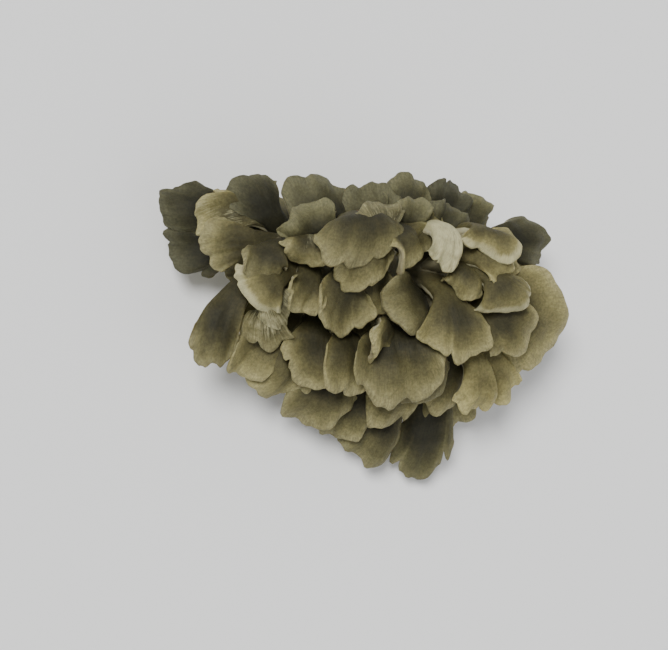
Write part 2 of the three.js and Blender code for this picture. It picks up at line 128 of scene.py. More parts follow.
# The fronds that show from above and in front, as in the imported part. tip is the middle of the cap's edge,
# and heading the compass direction, from +X towards +Y, in which the cap points. reach is the cap's length
# from neck to edge, spread half its opening angle, arch how high the stem bends over, or sags where it is
# below 0, twist its roll and cup how far its sides rise. curl is how strongly the edge droops, 1 unless it
# is given, and below 0 it turns up. corner is how far the outline falls away at its sides, CORNER_ROUNDING
# unless it is given. notch is the depth of a split in the edge, and notch_at its place from -1 to 1 across
# the cap.
# pale is how far a cap is cream instead of brown, grey_and_shade how far it is darkened and cooled, partly
# its own greyish brown and partly painted shade with a bluish painted reflection, rim how far a pale edge
# shows, and tone how light it is, which is drawn where it isn't given. fade is how soon the skin darkens
# inwards from the margin, a darkening that is partly painted shade, 1 unless it is given.
PLACED = {
    # The crown, which arches over from behind.
    "crown_fronds": [
        dict(tip=(-12, 8, 55), heading=-86, reach=33, spread=47, arch=6, twist=-4, cup=-4, curl=1.5,
             corner=0.36, tone=0.15, fade=0.8),
        dict(tip=(-11, 1, 48), heading=-92, reach=24, spread=54, arch=9, twist=2, cup=-1, curl=0.3),
        dict(tip=(9, 9, 50), heading=-55, reach=23, spread=42, arch=8, twist=-34, cup=2, tone=0.3),
        dict(tip=(17, 5.5, 54), heading=-100, reach=24, spread=22, arch=8, twist=6, cup=-4, pale=0.95),
        dict(tip=(-29, 8, 45), heading=-92, reach=19, spread=46, arch=8, twist=8, cup=1, pale=0.2,
             tone=0.3),
        dict(tip=(-39, 2, 42), heading=-70, reach=21, spread=44, arch=9, twist=-12, cup=2),
        dict(tip=(-29, -5, 42), heading=-110, reach=17, spread=42, arch=8, twist=4, cup=7, curl=-1.5,
             tone=0.25),
        dict(tip=(-15, -12, 42), heading=-92, reach=24, spread=48, arch=9, twist=-12, cup=5, curl=-0.8,
             tone=0.25),
    ],
    # The middle, face on from above.
    "middle_fronds": [
        dict(tip=(4, -8, 46), heading=-158, reach=23, spread=58, arch=-5, twist=0, cup=4, curl=1.2,
             tone=0.1),
        dict(tip=(-3, -22, 42), heading=-112, reach=20, spread=30, arch=9, twist=-52, cup=2),
        dict(tip=(24, -25, 46), heading=-94, reach=29, spread=41, arch=11, twist=3, cup=-2, corner=0.3,
             notch=0.12, notch_at=-0.12, tone=0.45, fade=0.9),
        dict(tip=(4, -35, 37), heading=-93, reach=34, spread=38, arch=12, twist=-4, cup=4, curl=-0.6,
             corner=0.34, tone=0.18),
        dict(tip=(25, -3, 48), heading=-120, reach=18, spread=36, arch=7, twist=20, cup=-1, tone=0.35),
        dict(tip=(-11, -32, 37), heading=-96, reach=26, spread=44, arch=10, twist=-14, cup=4, curl=-0.5,
             tone=0.3),
        dict(tip=(-26, -32, 32), heading=-104, reach=25, spread=46, arch=10, twist=8, cup=0, tone=0.35),
    ],
    # The right side, where the caps are longest.
    "right_fronds": [
        dict(tip=(43, -8, 51), heading=-76, reach=22, spread=50, arch=8, twist=0, cup=-5, curl=1.8, rim=1,
             tone=0.5),
        dict(tip=(62, 2, 26), heading=2, reach=25, spread=46, arch=9, twist=10, cup=1),
        dict(tip=(69.5, -15, 33), heading=-20, reach=34, spread=62, arch=12, twist=6, cup=-3, corner=0.4,
             tone=0.55, fade=0.6),
        dict(tip=(58, -29, 26), heading=-44, reach=28, spread=50, arch=12, twist=4, cup=-2, tone=0.8,
             fade=0.6),
        dict(tip=(37, -43, 31), heading=-92, reach=22, spread=30, arch=11, twist=4, cup=-1, notch=0.14,
             notch_at=0.3, tone=0.85, fade=0.6),
        dict(tip=(50, -40, 29), heading=-66, reach=21, spread=32, arch=10, twist=12, cup=-1, notch=0.16,
             notch_at=-0.35, tone=0.95, fade=0.7),
        dict(tip=(31.5, 11, 52), heading=-104, reach=20, spread=54, arch=7, twist=4, cup=0, curl=0.2,
             rim=0.8, tone=0.7),
        dict(tip=(47, 11, 43), heading=-18, reach=19, spread=44, arch=7, twist=4, cup=-2),
        dict(tip=(42, 6, 50), heading=-34, reach=18, spread=40, arch=6, twist=-12, cup=1),
        dict(tip=(50, 7, 39), heading=-12, reach=24, spread=46, arch=8, twist=0, cup=1),
        dict(tip=(69, 17, 25), heading=3, reach=28, spread=32, arch=11, twist=-6, cup=-2, grey_and_shade=1, tone=0.3),
    ],
    # The left side.
    "left_fronds": [
        dict(tip=(-45, -5, 41), heading=-130, reach=17, spread=52, arch=8, twist=4, cup=-3, rim=1,
             tone=0.55),
        dict(tip=(-31, -11, 38), heading=-46, reach=19, spread=46, arch=8, twist=8, cup=-5, pale=0.6),
        dict(tip=(-57, -23, 26), heading=-98, reach=31, spread=21, arch=12, twist=14, cup=3, curl=-0.4,
             tone=0.12, fade=1.1),
        dict(tip=(-57, 12, 34), heading=190, reach=20, spread=38, arch=9, twist=-10, cup=-2, tone=0.25),
        dict(tip=(-38, -21, 32), heading=-70, reach=22, spread=44, arch=9, twist=18, cup=1, pale=0.5),
        dict(tip=(-44, -29, 24), heading=-116, reach=24, spread=44, arch=10, twist=0, cup=3, curl=-0.6),
        dict(tip=(-67, 32, 17), heading=160, reach=26, spread=38, arch=9, twist=10, cup=-2, grey_and_shade=1,
             tone=0.1),
        dict(tip=(-66, 15, 15), heading=182, reach=26, spread=42, arch=10, twist=0, cup=-1, grey_and_shade=1,
             tone=0.1),
        dict(tip=(-58, 21, 30), heading=205, reach=24, spread=34, arch=8, twist=12, cup=2, pale=0.35,
             grey_and_shade=0.3),
        dict(tip=(-44, 35, 31), heading=122, reach=20, spread=44, arch=7, twist=10, cup=1, grey_and_shade=1,
             tone=0.2),
    ],
    # The front edge, low down.
    "front_fronds": [
        dict(tip=(-33, -37, 24), heading=-112, reach=26, spread=44, arch=11, twist=-6, cup=-2),
        dict(tip=(-17, -47, 20), heading=-100, reach=27, spread=44, arch=12, twist=6, cup=-2),
        dict(tip=(8, -45, 24), heading=-98, reach=28, spread=36, arch=12, twist=5, cup=-2),
        dict(tip=(29, -41, 25), heading=-84, reach=27, spread=42, arch=11, twist=-4, cup=-1),
        dict(tip=(22.5, -64, 9), heading=-117, reach=38, spread=28, arch=14, twist=10, cup=-1, grey_and_shade=0.8,
             tone=0.5),
        dict(tip=(1, -56, 11), heading=-126, reach=30, spread=36, arch=12, twist=-6, cup=-1, grey_and_shade=0.6),
        dict(tip=(41, -47, 13), heading=-62, reach=30, spread=36, arch=12, twist=0, cup=-1, grey_and_shade=0.6),
    ],
    # The back, which stands up behind the crown.
    "back_fronds": [
        dict(tip=(-8, 29, 50), heading=95, reach=20, spread=52, arch=6, twist=4, cup=-3, pale=0.4,
             grey_and_shade=0.3),
        dict(tip=(9, 30, 45), heading=80, reach=18, spread=46, arch=5, twist=-8, cup=2, grey_and_shade=1),
        dict(tip=(25, 27, 43), heading=58, reach=19, spread=46, arch=5, twist=6, cup=2, grey_and_shade=1),
        dict(tip=(-29, 27, 42), heading=120, reach=20, spread=46, arch=5, twist=-6, cup=2, grey_and_shade=1),
        dict(tip=(-22, 37, 33), heading=102, reach=22, spread=46, arch=6, twist=8, cup=1, grey_and_shade=1),
        dict(tip=(-3, 36, 34), heading=94, reach=21, spread=46, arch=6, twist=-6, cup=1, grey_and_shade=1),
        dict(tip=(14, 38, 33), heading=80, reach=22, spread=46, arch=6, twist=8, cup=1, grey_and_shade=1),
        dict(tip=(32, 36, 31), heading=62, reach=22, spread=46, arch=6, twist=-6, cup=1, grey_and_shade=1),
        dict(tip=(46, 28, 28), heading=36, reach=23, spread=46, arch=7, twist=6, cup=0, grey_and_shade=1),
    ],
    # A few that close gaps between the others.
    "inner_fronds": [
        dict(tip=(-3, -9, 39), heading=-88, reach=23, spread=42, arch=8, twist=4, cup=1, grey_and_shade=0.3),
        dict(tip=(41, -21, 31), heading=-66, reach=24, spread=46, arch=10, twist=4, cup=-1),
        dict(tip=(-8, -51, 15), heading=-112, reach=26, spread=42, arch=11, twist=4, cup=-1, grey_and_shade=0.6),
        dict(tip=(14, -37, 31), heading=-95, reach=25, spread=48, arch=10, twist=4, cup=1),
        dict(tip=(-8, -17, 30), heading=-96, reach=21, spread=46, arch=9, twist=-6, cup=0),
        dict(tip=(52, -19, 42), heading=-52, reach=24, spread=56, arch=9, twist=-4, cup=-3, tone=0.5,
             corner=0.34),
        dict(tip=(15, 12, 43), heading=-70, reach=18, spread=46, arch=7, twist=6, cup=2, tone=0.2),
    ],
}

# The low fronds, in one skirt right round the base, follow a rule.
SKIRT_COUNT = 11
SKIRT_START = -4
SKIRT_RADIUS_X = 47
SKIRT_RADIUS_Y = 34
SKIRT_HEIGHT = 13
SKIRT_REACH = 22
SKIRT_SPREAD = 44
SKIRT_ARCH = 9

# Skin colours from a cap's margin inwards, at shares of SKIN_DEPTH, darkened inwards partly by painted shade
# near the neck. A stem has the colour at STEM_MARGIN.
SKIN_DEPTH = 15
STEM_MARGIN = 11
# The inner, darker stops are partly painted shade, for the shade that the caps above cast near the neck.
SKIN_AND_SHADE_STOPS = [
    (0.00, (0.285, 0.260, 0.124)),
    (0.12, (0.240, 0.217, 0.096)),
    (0.32, (0.150, 0.135, 0.056)),
    (0.62, (0.075, 0.067, 0.0275)),
    (1.00, (0.032, 0.0295, 0.0135)),
]
# How much each pattern darkens and lightens the skin: its share, and its darkest and lightest factor.
SKIN_PATTERNS = {
    "streaks": (0.8, 0.76, 1.20),
    "fibres": (0.8, 0.72, 1.24),
    "mottle": (0.6, 0.70, 1.22),
    "grain": (0.6, 0.66, 1.25),
}
# The factors for the darkest and the lightest tone.
DARK_TONE = (0.62, 0.62, 0.64)
LIGHT_TONE = (1.5, 1.46, 1.36)
# The scale, detail and roughness of each noise, the scale per metre of the object. STREAKS and FIBRES run
# along each frond instead, and are repeated by so much across and along it.
MOTTLE = (330, 6, 0.75)
GRAIN = (1150, 2, 0.6)
BLOTCH = (85, 3, 0.5)
NAP = (1400, 3, 0.5)
PORES_SCALE = 1500
STEM_NOISE = (420, 4, 0.65)
STREAKS, STREAKS_STRETCH = (3.2, 4, 0.6), (9, 0.8)
FIBRES, FIBRES_STRETCH = (3.2, 3, 0.6), (34, 3)
# By how many millimetres, from end to end, the patterns move the skin's colours in and out.
MARGIN_DISTURBANCE = {"blotch": 9, "streaks": 7, "fibres": 3}
# Cream where a cap is turned over, the flesh with pores beneath, and the flesh of the stems and base.
CREAM = [(0.28, (0.19, 0.170, 0.080)), (0.48, (0.36, 0.336, 0.190)), (0.72, (0.54, 0.515, 0.290))]
PORE_FLESH = [(0.3, (0.33, 0.305, 0.185)), (0.7, (0.48, 0.450, 0.290))]
STEM_FLESH = [(0.3, (0.36, 0.332, 0.205)), (0.7, (0.57, 0.540, 0.375))]
# Painted shade for the crevices under the caps: its colour on the stems, the height above the cut where it
# begins, and where it is whole. The flesh is stained up to STAINED_TO.
STEM_PAINTED_SHADE = (0.13, 0.115, 0.060)
PAINTED_SHADE_FROM = 14
PAINTED_SHADE_TO = 34
STAIN = (0.17, 0.135, 0.065)
STAINED_TO = 6
# What the outer caps' colour is multiplied by: darker and cooler, partly their own greyish brown and partly
# painted shade with a bluish painted reflection.
GREYING_AND_SHADE = (0.38, 0.405, 0.46)
# The finest relief, the gloss, and how much light enters the flesh and how far, in metres for each colour.
BUMP_HEIGHT = 0.0006
GLOSS = 0.2
GLOW = 0.12
GLOW_DEPTH = (0.0022, 0.0014, 0.0008)

# The floor is a disc that curves up into a wall far away. Both radii are in metres.
FLOOR_RADIUS = 2.0
COVE_RADIUS = 1.2
FLOOR_SIDES, COVE_RINGS = 96, 12
FLOOR_COLOUR = (0.80, 0.80, 0.79)
SKY_COLOUR = (0.95, 0.965, 1.0)
SKY_STRENGTH = 0.38
# Each light's direction, softness in degrees and strength.
KEY_LIGHT = ((-0.28, 0.22, 0.55), 22, 3.7)
FILL_LIGHT = ((0.35, -0.35, 0.5), 60, 0.7)

# The photograph's view: square to the cut, a little from its left, with +Y up in the picture.
VIEW_TILT = 20
VIEW_DISTANCE = 620
VIEW_LENS = 100
SENSOR_WIDTH = 36
VIEW_RIGHT = -2
VIEW_UP = -11.7
VIEW_HEIGHT = 28


def draw(index, kind):
    """A number from 0 to 1 that is always the same for the same two indices."""
    wave = math.sin(index * 12.9898 + kind * 78.233) * 43758.5453
    return wave - math.floor(wave)


def jitter(index, kind, size):
    """A number from -size to size."""
    return (2 * draw(index, kind) - 1) * size


def unit(vectors):
    """Each vector at length 1."""
    return vectors / np.linalg.norm(vectors, axis=1, keepdims=True)


def warp(p):
    """The slow bend of all space, at the points p."""
    x, y, z = (p / WARP_LENGTH).T
    share = WARP * np.clip(p[:, 2] / WARP_FULL_AT, 0, 1)
    moved = (np.sin(y + 1.3 * z + 0.4), np.sin(1.1 * z + x + 2.1), np.sin(x - 0.9 * y + 4.0))
    return p + share[:, None] * np.stack(moved, 1)


def lumps(p, size, seed):
    """Smooth random values from -1 to 1 at the points p, in lumps of about the given size."""
    q = p / size + 17.3 * seed
    cell = np.floor(q)
    part = q - cell
    part = part * part * (3 - 2 * part)
    total = np.zeros(len(p))
    for corner in np.ndindex(2, 2, 2):
        wave = np.sin((cell + corner) @ (12.71, 31.17, 7.47)) * 43758.5453
        total += (wave - np.floor(wave)) * np.prod(np.where(corner, part, 1 - part), axis=1)
    return 2 * total - 1


def skirt():
    """The skirt's fronds, as entries like those that are listed one by one."""
    entries = []
    for i in range(SKIRT_COUNT):
        angle = SKIRT_START + (360 / SKIRT_COUNT) * (i + jitter(i, 1, 0.18))
        grow = 1 + jitter(i, 2, 0.12)
        x = SKIRT_RADIUS_X * grow * math.cos(math.radians(angle))
        y = SKIRT_RADIUS_Y * grow * math.sin(math.radians(angle))
        entries.append(dict(
            tip=(x, y, SKIRT_HEIGHT + jitter(i, 3, 3)),
            heading=angle + jitter(i, 4, 14),
            reach=SKIRT_REACH + jitter(i, 5, 3),
            spread=SKIRT_SPREAD + jitter(i, 6, 8),
            arch=SKIRT_ARCH,
            twist=jitter(i, 7, 16),
            cup=-2,
            grey_and_shade=0.6,
        ))
    return entries


def bough_tops():
    """Where each bough ends. The last one is the crown's."""
    tops = []
    for i in range(BOUGH_COUNT):
        angle = math.radians((360 / BOUGH_COUNT) * (i + 0.5 + jitter(i, 20, 0.12)))
        tops.append(np.array((
            BOUGH_RADIUS * 1.15 * math.cos(angle),
            BOUGH_RADIUS * math.sin(angle) + BASE_LEAN_Y * 0.6,
            BOUGH_TOP + jitter(i, 21, 3),
        )))
    return tops + [np.array(CROWN_TOP, float)]


def root_of(entry, tops):
    """A frond leaves the bough whose end lies nearest under its neck: the crown's near the middle, and
    else one of the ring."""
    turn = math.radians(entry["heading"])
    neck = np.array(entry["tip"][:2]) - entry["reach"] * np.array((math.cos(turn), math.sin(turn)))
    away = [np.linalg.norm(top[:2] - neck) for top in tops]
    if away[-1] < CROWN_REACH and entry["tip"][2] > tops[-1][2]:
        return tops[-1]
    return tops[int(np.argmin(away[:-1]))]


def frond_shape(entry, index, tops):
    """All that a frond's surface needs, worked out from its entry."""
    tip = np.array(entry["tip"], float)
    root = root_of(entry, tops) - (0, 0, ROOT_SINK)
    turn = math.radians(entry["heading"])
    ahead = np.array((math.cos(turn), math.sin(turn), 0))
    level = np.linalg.norm(tip[:2] - root[:2])
    back = max(CONTROL_SHARE * level, CONTROL_REACH * entry["reach"])
    control = tip - ahead * back + (0, 0, entry["arch"])
    t = np.linspace(0, 1, 200)[:, None]
    line = (1 - t) ** 2 * root + 2 * t * (1 - t) * control + t * t * tip
    length = np.linalg.norm(np.diff(line, axis=0), axis=1).sum()
    reach = min(entry["reach"], LONGEST_CAP * length)
    return dict(
        entry,
        points=(root, control, tip),
        length=length,
        reach=reach,
        neck=1 - reach / length,
        across=np.array((-ahead[1], ahead[0], 0)),
        half=reach * math.sin(math.radians(entry["spread"])),
        waves=2.2 + 1.6 * draw(index, 10),
        phase=6.28 * draw(index, 11),
        lobe=6.28 * draw(index, 12),
        splits=edge_splits(entry, index),
        tone=entry.get("tone", draw(index, 30)),
        seed=draw(index, 31),
    )


def edge_splits(entry, index):
    """The depth and place of each split in the cap's edge, the given one or else those that are drawn."""
    if "notch" in entry:
        return [(entry["notch"], entry["notch_at"])]
    places = [jitter(index, 40 + k, 0.35) + side for k, side in enumerate((-0.4, 0.4))]
    return [
        (SPLIT_DEPTH * (0.4 + draw(index, 44 + k)), place)
        for k, place in enumerate(places)
        if draw(index, 42 + k) < SPLIT_CHANCE
    ]


def outline(f, v):
    """How far the cap's edge lies from the neck, as a share of the reach, at v from -1 to 1 across it."""
    coarse = (
        1
        - f.get("corner", CORNER_ROUNDING) * np.abs(v) ** CORNER_POWER
        + LOBE_DEPTH * (np.sin(4.1 * v + f["lobe"]) - math.sin(f["lobe"])) * 0.5
        + LOBE_DEPTH * 0.35 * np.sin(9.3 * v + 2 * f["lobe"])
    )
    nicks = np.sin(17 * v + 3 * f["lobe"]) + 0.6 * np.sin(31 * v + 5 * f["phase"])
    splits = sum(depth * np.exp(-np.abs((v - place) / SPLIT_WIDTH) ** 1.3) for depth, place in f["splits"])
    return coarse + NICK_DEPTH * nicks - splits


def centre_line(f, t):
    """Points and directions of the frond's centre line, a quadratic curve from its root to its tip."""
    root, control, tip = f["points"]
    s = t[:, None]
    points = (1 - s) ** 2 * root + 2 * s * (1 - s) * control + s * s * tip
    return points, unit((1 - s) * (control - root) + s * (tip - control))


def plate_axes(f, t, tangent):
    """The directions across the plate and out of its top, rolled by the frond's twist."""
    up = unit(np.cross(tangent, f["across"]))
    across = unit(np.cross(up, tangent))
    roll = (math.radians(f["twist"]) * np.clip(t / f["neck"], 0, 1))[:, None]
    return across * np.cos(roll) + up * np.sin(roll), up * np.cos(roll) - across * np.sin(roll)


def plate_lift(f, v, x, cap):
    """How far the cup, the waves and the drooping edge move the plate out of its plane."""
    droop = np.maximum(0, cap - EDGE_DROOP_FROM) / (1 - EDGE_DROOP_FROM)
    return (
        f["cup"] * (x / f["half"]) ** 2 * cap
        + RUFFLE * cap**2 * np.sin(f["waves"] * v * 2 + f["phase"])
        + FINE_RUFFLE * cap**3 * np.sin(13 * v + 2.3 * f["phase"]) * np.sin(5 * v + f["lobe"])
        - f.get("curl", 1) * EDGE_DROOP * droop**2
    )


def half_thickness(stem, cap):
    """Half the plate's thickness in its middle: stem is 1 at the root, and cap 1 at the edge, with a bead
    there."""
    on_stem = NECK_HALF_THICKNESS + (ROOT_HALF_THICKNESS - NECK_HALF_THICKNESS) * stem
    on_cap = EDGE_HALF_THICKNESS + (NECK_HALF_THICKNESS - EDGE_HALF_THICKNESS) * (1 - cap) ** 1.8
    return np.where(cap > 0, on_cap + MARGIN_BEAD * np.exp(-(((1 - cap) / 0.09) ** 2)), on_stem)


def surface_relief(f, v, along, side, middle):
    """The low relief and the ridges on the plate's faces. Pale, turned-over caps are smoother."""
    radial = np.stack([v * f["half"] / RIDGE_WIDTH, 2.5 * along, side + f["lobe"]], 1)
    ridges = RIDGES * (1 - 0.7 * f.get("pale", 0)) * lumps(radial, 1, 3) * np.clip(along + 0.3, 0, 1)
    return RELIEF * lumps(middle + 9 * side[:, None], RELIEF_SIZE, 2) + ridges


def frond_points(f, v, along, side, rim, swell=0):
    """Points of the frond's top (side 1) and underside (side -1), at v from -1 to 1 across it. along is -1
    at the root, 0 at the neck and 1 at the edge, and rim runs from 0 to 1 round the rounded edge. swell
    thickens it all round."""
    bow = np.sin(math.pi / 2 * v)
    full = np.maximum(0, np.cos(math.pi / 2 * v)) ** PLATE_POWER
    stem, cap = np.clip(-along, 0, 1), np.clip(along, 0, 1)
    angle = v * math.radians(f["spread"])
    round_rim = (EDGE_HALF_THICKNESS + MARGIN_BEAD) * np.sin(rim * math.pi / 2)
    reach = f["reach"] * outline(f, v) * cap + round_rim
    stem_x = (NECK_HALF_WIDTH + (ROOT_HALF_WIDTH - NECK_HALF_WIDTH) * stem) * bow
    cap_x = NECK_HALF_WIDTH * bow * (1 - cap) + reach * np.sin(angle)
    x = np.where(along <= 0, stem_x, cap_x)
    t = np.where(along <= 0, f["neck"] * (1 - stem), f["neck"] + reach * np.cos(angle) / f["length"])
    centre, tangent = centre_line(f, t)
    wide, high = plate_axes(f, t, tangent)
    middle = centre + wide * (x + swell * bow)[:, None] + high * plate_lift(f, v, x, cap)[:, None]
    round_edge = full * np.cos(rim * math.pi / 2)
    thick = half_thickness(stem, cap) + surface_relief(f, v, along, side, middle)
    thick = thick * round_edge + swell * full
    wave = WAVINESS * lumps(middle, WAVE_SIZE, 1) * np.clip(along + 0.4, 0, 1)
    return warp(middle + high * (wave + side * thick)[:, None])


def margin_distance(f, v, along):
    """About how many millimetres of cap lie between each point and the cap's margin, and STEM_MARGIN on
    the stem."""
    spread = math.radians(f["spread"])
    reach = f["reach"] * outline(f, v)
    from_side = 1.6 * np.sin(spread * (1 - np.abs(v))) * reach * np.clip(along, 0, 1)
    from_side += STEM_MARGIN * (1 - along)
    return np.where(along <= 0, STEM_MARGIN, np.minimum((1 - along) * reach, from_side))


def quad_faces(index):
    """Quads between the rings whose vertices the rows of index name."""
    a, b = index[:-1], np.roll(index[:-1], -1, axis=1)
    c, d = np.roll(index[1:], -1, axis=1), index[1:]
    return np.stack([a, b, c, d], -1).reshape(-1, 4).tolist()


def frond_mesh(f):
    """Vertices, faces and attributes of one closed frond."""
    even = np.linspace(-1, 1, COLUMNS + 1)
    columns = 0.45 * even + 0.55 * np.sin(math.pi / 2 * even)
    rings = [(along, 0.0) for along in np.linspace(-1, 0, STEM_RINGS, endpoint=False)]
    rings += [(along, 0.0) for along in 1 - (1 - np.linspace(0, 1, CAP_RINGS)) ** 1.25]
    rings += [(1.0, (k + 1) / EDGE_RINGS) for k in range(EDGE_RINGS)]
    ring_v = np.concatenate([columns[::-1], columns[1:-1]])
    ring_side = np.concatenate([np.ones(COLUMNS + 1), -np.ones(COLUMNS - 1)])
    ring_side[0] = ring_side[COLUMNS] = 0
    count = len(ring_v)
    v, side = np.tile(ring_v, len(rings)), np.tile(ring_side, len(rings))
    along, rim = np.repeat(np.array(rings), count, axis=0).T
    points = frond_points(f, v, along, side, rim)
    index = np.arange(len(points)).reshape(len(rings), count)
    # On the last ring the underside takes the top's vertices, and its own, which end the list, are dropped.
    index[-1, COLUMNS + 1:] = index[-1, 1:COLUMNS][::-1]
    faces = quad_faces(index) + [index[0, ::-1].tolist()]
    attributes = dict(
        along=along,
        across=v * f["spread"] / 45,
        side=side * np.cos(rim * math.pi / 2),
        margin=margin_distance(f, v, along) * f.get("fade", 1),
    )
    for key in ("tone", "seed", "pale", "grey_and_shade", "rim"):
        attributes[key] = np.full(len(points), f.get(key, 0.0))
    kept = len(points) - (COLUMNS - 1)
    return points[:kept], faces, {key: values[:kept] for key, values in attributes.items()}


def tube_mesh(rings):
    """Vertices and faces of a closed tube through rings of points."""
    points = np.concatenate(rings)
    index = np.arange(len(points)).reshape(len(rings), -1)
    return points, quad_faces(index) + [index[0, ::-1].tolist(), index[-1].tolist()]


def link_object(name, data):
    """A new object in the scene that shows the data."""
    obj = bpy.data.objects.new(name, data)
    bpy.context.collection.objects.link(obj)
    return obj


def store_attribute(mesh, key, values):
    """One value for each of the mesh's points, for the material to read."""
    mesh.attributes.new(key, "FLOAT", "POINT").data.foreach_set("value", values.astype(np.float32))


def mesh_object(name, parts):
    """One smooth mesh object from several sets of vertices in millimetres, faces and attributes."""
    start, points, faces = 0, [], []
    for part_points, part_faces, _ in parts:
        points.append(part_points)
        faces += [[i + start for i in face] for face in part_faces]
        start += len(part_points)
    mesh = bpy.data.meshes.new(name)
    mesh.from_pydata((np.concatenate(points) * MM).tolist(), [], faces)
    for key in parts[0][2]:
        store_attribute(mesh, key, np.concatenate([part[2][key] for part in parts]))
    mesh.shade_smooth()
    return link_object(name, mesh)


def bough_mesh(top, thickness):
    """A tapered round branch from inside the base to its top."""
    foot = np.array((top[0] * 0.45, top[1] * 0.45, thickness + 2))
    middle = np.array((top[0] * 0.85, top[1] * 0.85, top[2] * 0.5))
    across = unit(np.array([[-top[1], top[0], 0]]))[0]
    turn = np.linspace(0, 2 * math.pi, BOUGH_SIDES, endpoint=False)[:, None]
    rings = []
    for t in np.linspace(0, 1, BOUGH_RINGS):
        centre = (1 - t) ** 2 * foot + 2 * t * (1 - t) * middle + t * t * top
        tangent = unit([(1 - t) * (middle - foot) + t * (top - middle)])[0]
        up = unit([np.cross(tangent, across)])[0]
        out = unit([np.cross(up, tangent)])[0]
        rounded_end = math.sqrt(max(0.05, 1 - max(0, (t - 0.8) / 0.2) ** 2))
        radius = thickness * (1 - 0.25 * t) * rounded_end
        rings.append(warp(centre + out * radius * np.cos(turn) + up * radius * np.sin(turn)))
    return tube_mesh(rings)


def base_mesh():
    """The lobed lump that the boughs rise from."""
    turn = np.linspace(0, 2 * math.pi, BASE_SIDES, endpoint=False)
    lobed = 1 + BASE_LOBE_DEPTH * np.sin(BASE_LOBES * turn + 1.2) + 0.04 * np.sin(3 * turn)
    rings = []
    for share in np.linspace(0, 0.97, BASE_RINGS):
        swell = math.sqrt(1 - share * share) * (1 + 0.25 * math.sin(math.pi * share))
        rings.append(np.stack([
            CUT_RADIUS_X * swell * lobed * np.cos(turn),
            CUT_RADIUS_Y * swell * lobed * np.sin(turn) + BASE_LEAN_Y * share,
            np.full(BASE_SIDES, BASE_HEIGHT * share),
        ], 1))
    return tube_mesh(rings)


def stem_mesh(f):
    """The lower part of a frond's stem, flared at its root and a little thinner than the frond above."""
    turn = np.linspace(0, 2 * math.pi, STEM_SIDES, endpoint=False)
    v, side = np.sin(turn) * 0.999, np.sign(np.cos(turn))
    rings = []
    for along in np.linspace(-1, -0.25, STEM_TUBE_RINGS):
        swell = ROOT_FLARE * max(0, -0.5 - along) - 0.35
        level, flat = np.full(STEM_SIDES, along), np.zeros(STEM_SIDES)
        rings.append(frond_points(f, v, level, side, flat, swell=swell))
    return tube_mesh(rings)


def fused_skin(rough):
    """The object's mesh with all its closed parts fused and its joints smoothed. The object is removed."""
    fuse = rough.modifiers.new("fuse", "REMESH")
    fuse.mode = "VOXEL"
    fuse.voxel_size = TRUNK_VOXEL * MM
    soften = rough.modifiers.new("soften", "SMOOTH")
    soften.factor = 0.5
    soften.iterations = TRUNK_SMOOTHINGS
    bpy.context.view_layer.update()
    mesh = bpy.data.meshes.new_from_object(rough.evaluated_get(bpy.context.evaluated_depsgraph_get()))
    bpy.data.objects.remove(rough)
    return mesh


def trunk_object(tops, fronds):
    """The base, boughs and stems as one skin, lumpy and fibrous, and flat underneath."""
    parts = [base_mesh()]
    parts += [bough_mesh(top, BOUGH_THICKNESS) for top in tops[:-1]]
    parts += [bough_mesh(tops[-1], CROWN_THICKNESS)]
    parts += [stem_mesh(f) for f in fronds]
    mesh = fused_skin(mesh_object("trunk_rough", [(points, faces, {}) for points, faces in parts]))
    count = len(mesh.vertices)
    points, normals = np.empty(count * 3), np.empty(count * 3)
    mesh.vertices.foreach_get("co", points)
    mesh.vertices.foreach_get("normal", normals)
    points, normals = points.reshape(-1, 3) / MM, normals.reshape(-1, 3)
    relief = sum(
        height * lumps(points * (1, 1, stretch), size, seed) * share
        for (height, size), stretch, seed, share in (
            (TRUNK_FIBRES, 0.3, 5, 1),
            (TRUNK_LUMPS, 1, 6, 1),
            (TRUNK_FOLDS, 0.6, 7, np.clip(1.6 * (1 - points[:, 2] / FOLDS_TO), 0, 1)),
        )
    )
    points += normals * relief[:, None]
    points[:, 2] = np.where(points[:, 2] < FLAT_BELOW, 0, points[:, 2])
    mesh.vertices.foreach_set("co", (points * MM).ravel())
    flat = dict(along=-1, across=0, side=-1, margin=STEM_MARGIN, tone=0.5, seed=0, pale=0, grey_and_shade=0, rim=0)
    for key, number in flat.items():
        store_attribute(mesh, key, np.full(count, number))
    mesh.shade_smooth()
    mesh.update()
    return link_object("base_and_boughs", mesh)


def make_cluster():
    """One piece for each group of fronds, and one for the base and boughs."""
    groups = dict(PLACED, skirt_fronds=skirt())
    tops = bough_tops()
    pieces, fronds = [], []
    for name, entries in groups.items():
        shapes = [frond_shape(entry, len(fronds) + i, tops) for i, entry in enumerate(entries)]
        pieces.append(mesh_object(name, [frond_mesh(f) for f in shapes]))
        fronds += shapes
    return pieces + [trunk_object(tops, fronds)]


